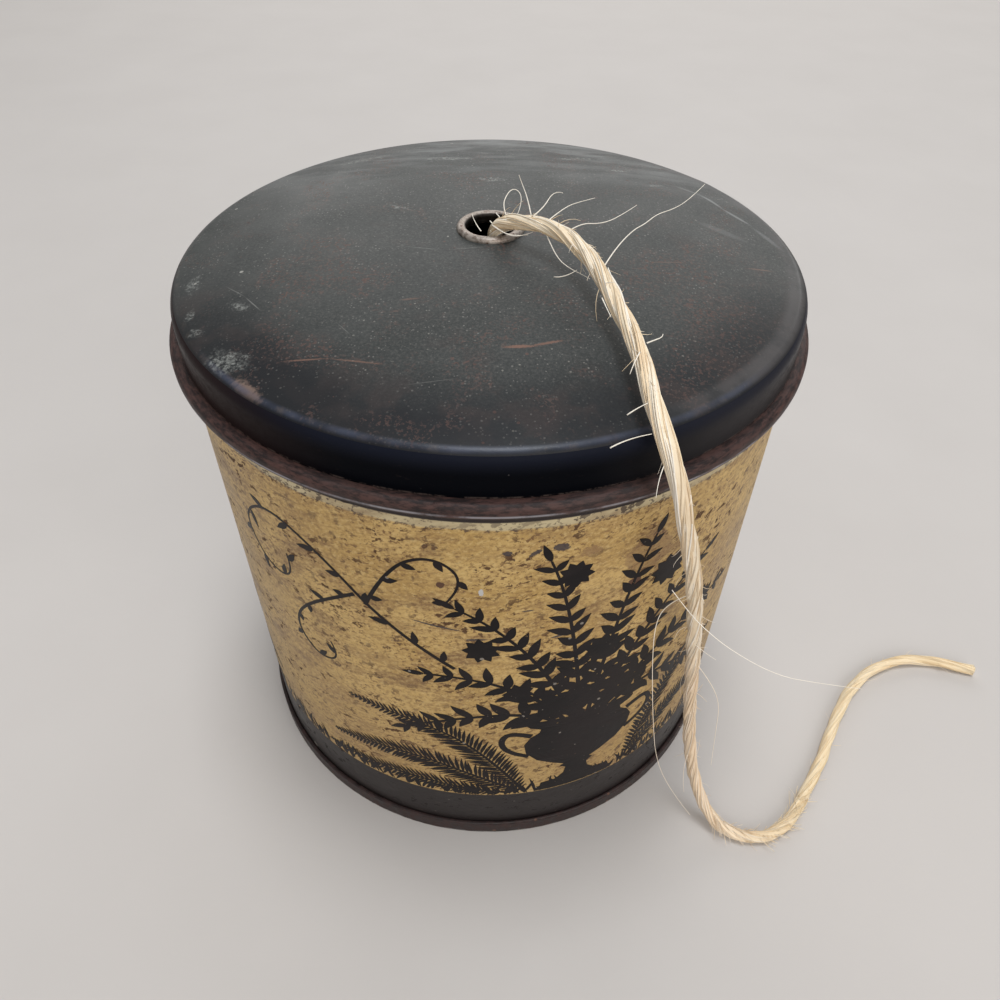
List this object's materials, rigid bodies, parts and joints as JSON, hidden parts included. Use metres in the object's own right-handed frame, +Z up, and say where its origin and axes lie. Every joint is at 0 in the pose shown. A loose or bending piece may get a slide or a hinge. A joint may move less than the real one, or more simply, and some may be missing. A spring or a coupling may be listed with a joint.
{
  "type": "twine tin",
  "caption": "Round printed tin with a lift-off domed lid; twine is drawn from a ball inside, up through an eyelet in the middle of the lid.",
  "frame": {"origin": "centre of the ring that the tin stands on, at table height", "axes": "+Z up along the tin's axis, +X to the right and -Y towards the front, where the twine hangs"},
  "size_m": [0.197, 0.1255, 0.131],
  "materials": {
    "printed_tin": "worn satin litho print",
    "base_tinplate": "dark, worn",
    "lid_lacquer": "dull black lacquer",
    "eyelet_brass": "tarnished",
    "twine_fibre": "matte",
    "ball_fibre": "matte"
  },
  "bodies": {
    "tin": {"body_wall": "printed_tin", "base_end": "base_tinplate", "ball_core": "ball_fibre", "ball_winding": "twine_fibre"},
    "lid": {"lid_cap": "lid_lacquer", "eyelet": "eyelet_brass", "twine": "twine_fibre"}
  },
  "joints": [
    {"name": "lid_lift", "type": "slide", "parent": "tin", "child": "lid", "axis": [0, 0, 1], "range_m": [0, 0.055]}
  ]
}
